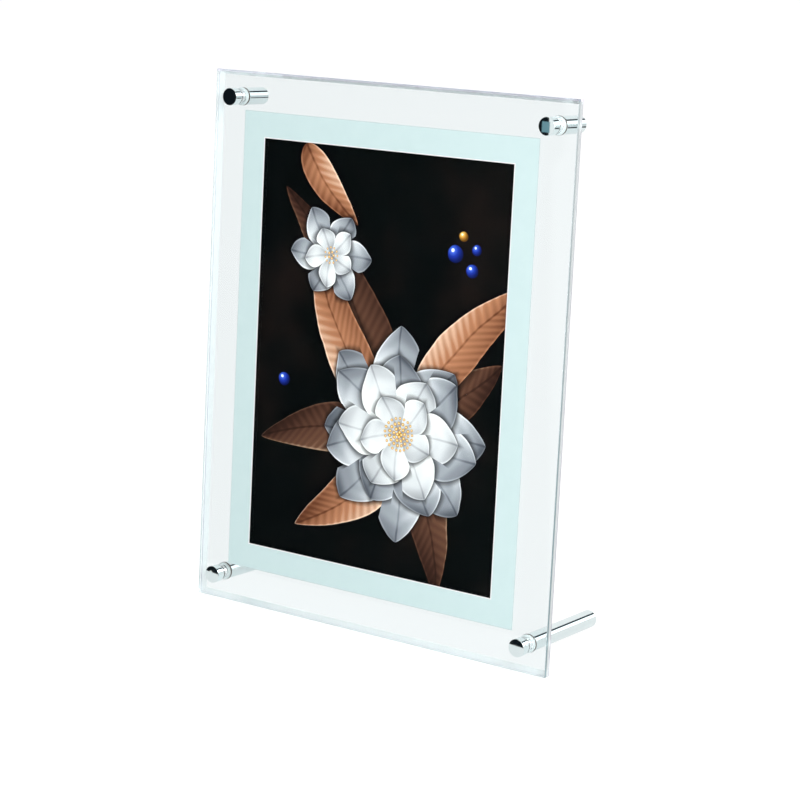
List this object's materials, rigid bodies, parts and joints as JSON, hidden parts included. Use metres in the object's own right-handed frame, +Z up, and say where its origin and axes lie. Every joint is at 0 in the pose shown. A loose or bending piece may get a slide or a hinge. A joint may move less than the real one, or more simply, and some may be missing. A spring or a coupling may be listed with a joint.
{
  "type": "led light box",
  "caption": "Free-standing LED light box: a backlit picture in a pale border, between clear acrylic sheets held by chrome standoffs.",
  "frame": {"origin": "middle of the footprint on the surface that the box stands on", "axes": "+Z up, +X to the viewer's right, the front faces -Y and leans back"},
  "size_m": [0.29, 0.0944, 0.3706],
  "materials": {
    "clear_acrylic": "clear polished acrylic with polished edges",
    "pale_teal_print": "flat pale teal print on clear film",
    "picture_print": "satin backlit print, near black with brown, silver and gold shapes",
    "white_sheet": "matt white diffusing sheet",
    "white_plastic": "white moulded plastic channel",
    "led_board": "white circuit board with yellow phosphor chips",
    "white_metal": "satin white painted sheet metal",
    "steel": "plain bright steel",
    "black_plastic": "black moulded plastic with a fine texture",
    "red_insulation": "red wire insulation",
    "black_insulation": "black wire insulation",
    "chrome": "polished chrome plate",
    "clear_nylon": "translucent nylon washer",
    "white_nylon": "white nylon bush",
    "dark_rubber": "dark brown rubber ring"
  },
  "bodies": {
    "light_box": {"back_cover": "white_metal", "bottom_left_bushing": "white_nylon", "bottom_left_leg": "chrome", "bottom_left_rubber_ring": "dark_rubber", "bottom_right_bushing": "white_nylon", "bottom_right_leg": "chrome", "bottom_right_rubber_ring": "dark_rubber", "cover_screw_1": "steel", "cover_screw_10": "steel", "cover_screw_2": "steel", "cover_screw_3": "steel", "cover_screw_4": "steel", "cover_screw_5": "steel", "cover_screw_6": "steel", "cover_screw_7": "steel", "cover_screw_8": "steel", "cover_screw_9": "steel", "diffuser_sheet": "white_sheet", "front_sheet": "clear_acrylic", "housing_screw_1": "steel", "housing_screw_2": "steel", "jack_housing": "black_plastic", "jack_pin": "steel", "jack_terminal": "steel", "jack_wire_negative": "black_insulation", "jack_wire_positive": "red_insulation", "led_strip_bottom": "led_board", "led_strip_top": "led_board", "light_guide": "clear_acrylic", "link_wire_negative": "black_insulation", "link_wire_positive": "red_insulation", "picture_film": "picture_print", "power_jack": "black_plastic", "printed_border": "pale_teal_print", "rail_bottom": "white_plastic", "rail_left": "white_plastic", "rail_right": "white_plastic", "rail_top": "white_plastic", "rear_sheet": "clear_acrylic", "reflector_sheet": "white_sheet", "top_left_barrel": "chrome", "top_left_bushing": "white_nylon", "top_left_rubber_ring": "dark_rubber", "top_right_barrel": "chrome", "top_right_bushing": "white_nylon", "top_right_rubber_ring": "dark_rubber"},
    "top_left_washer_slide": {"top_left_washer": "clear_nylon"},
    "top_left_cap_and_stud": {"top_left_cap": "chrome", "top_left_stud": "steel"},
    "top_right_washer_slide": {"top_right_washer": "clear_nylon"},
    "top_right_cap_and_stud": {"top_right_cap": "chrome", "top_right_stud": "steel"},
    "bottom_left_washer_slide": {"bottom_left_washer": "clear_nylon"},
    "bottom_left_cap_and_stud": {"bottom_left_cap": "chrome", "bottom_left_stud": "steel"},
    "bottom_right_washer_slide": {"bottom_right_washer": "clear_nylon"},
    "bottom_right_cap_and_stud": {"bottom_right_cap": "chrome", "bottom_right_stud": "steel"}
  },
  "joints": [
    {"name": "top_left_cap_travel", "type": "slide", "parent": "light_box", "child": "top_left_washer_slide", "axis": [0, -0.989, 0.1478], "range_m": [0, 0.01]},
    {"name": "top_left_cap_turn", "type": "hinge", "parent": "top_left_washer_slide", "child": "top_left_cap_and_stud", "pos_m": [-0.127, 0.01144, 0.35283], "axis": [0, -0.989, 0.1478], "range_deg": [0, 3600]},
    {"name": "top_right_cap_travel", "type": "slide", "parent": "light_box", "child": "top_right_washer_slide", "axis": [0, -0.989, 0.1478], "range_m": [0, 0.01]},
    {"name": "top_right_cap_turn", "type": "hinge", "parent": "top_right_washer_slide", "child": "top_right_cap_and_stud", "pos_m": [0.127, 0.01144, 0.35283], "axis": [0, -0.989, 0.1478], "range_deg": [0, 3600]},
    {"name": "bottom_left_cap_travel", "type": "slide", "parent": "light_box", "child": "bottom_left_washer_slide", "axis": [0, -0.989, 0.1478], "range_m": [0, 0.01]},
    {"name": "bottom_left_cap_turn", "type": "hinge", "parent": "bottom_left_washer_slide", "child": "bottom_left_cap_and_stud", "pos_m": [-0.127, -0.03851, 0.01854], "axis": [0, -0.989, 0.1478], "range_deg": [0, 3600]},
    {"name": "bottom_right_cap_travel", "type": "slide", "parent": "light_box", "child": "bottom_right_washer_slide", "axis": [0, -0.989, 0.1478], "range_m": [0, 0.01]},
    {"name": "bottom_right_cap_turn", "type": "hinge", "parent": "bottom_right_washer_slide", "child": "bottom_right_cap_and_stud", "pos_m": [0.127, -0.03851, 0.01854], "axis": [0, -0.989, 0.1478], "range_deg": [0, 3600]}
  ],
  "couplings": [
    {"joint": "top_left_cap_turn", "follows": "top_left_cap_travel", "rad_per_m": 6283.2},
    {"joint": "top_right_cap_turn", "follows": "top_right_cap_travel", "rad_per_m": 6283.2},
    {"joint": "bottom_left_cap_turn", "follows": "bottom_left_cap_travel", "rad_per_m": 6283.2},
    {"joint": "bottom_right_cap_turn", "follows": "bottom_right_cap_travel", "rad_per_m": 6283.2}
  ]
}
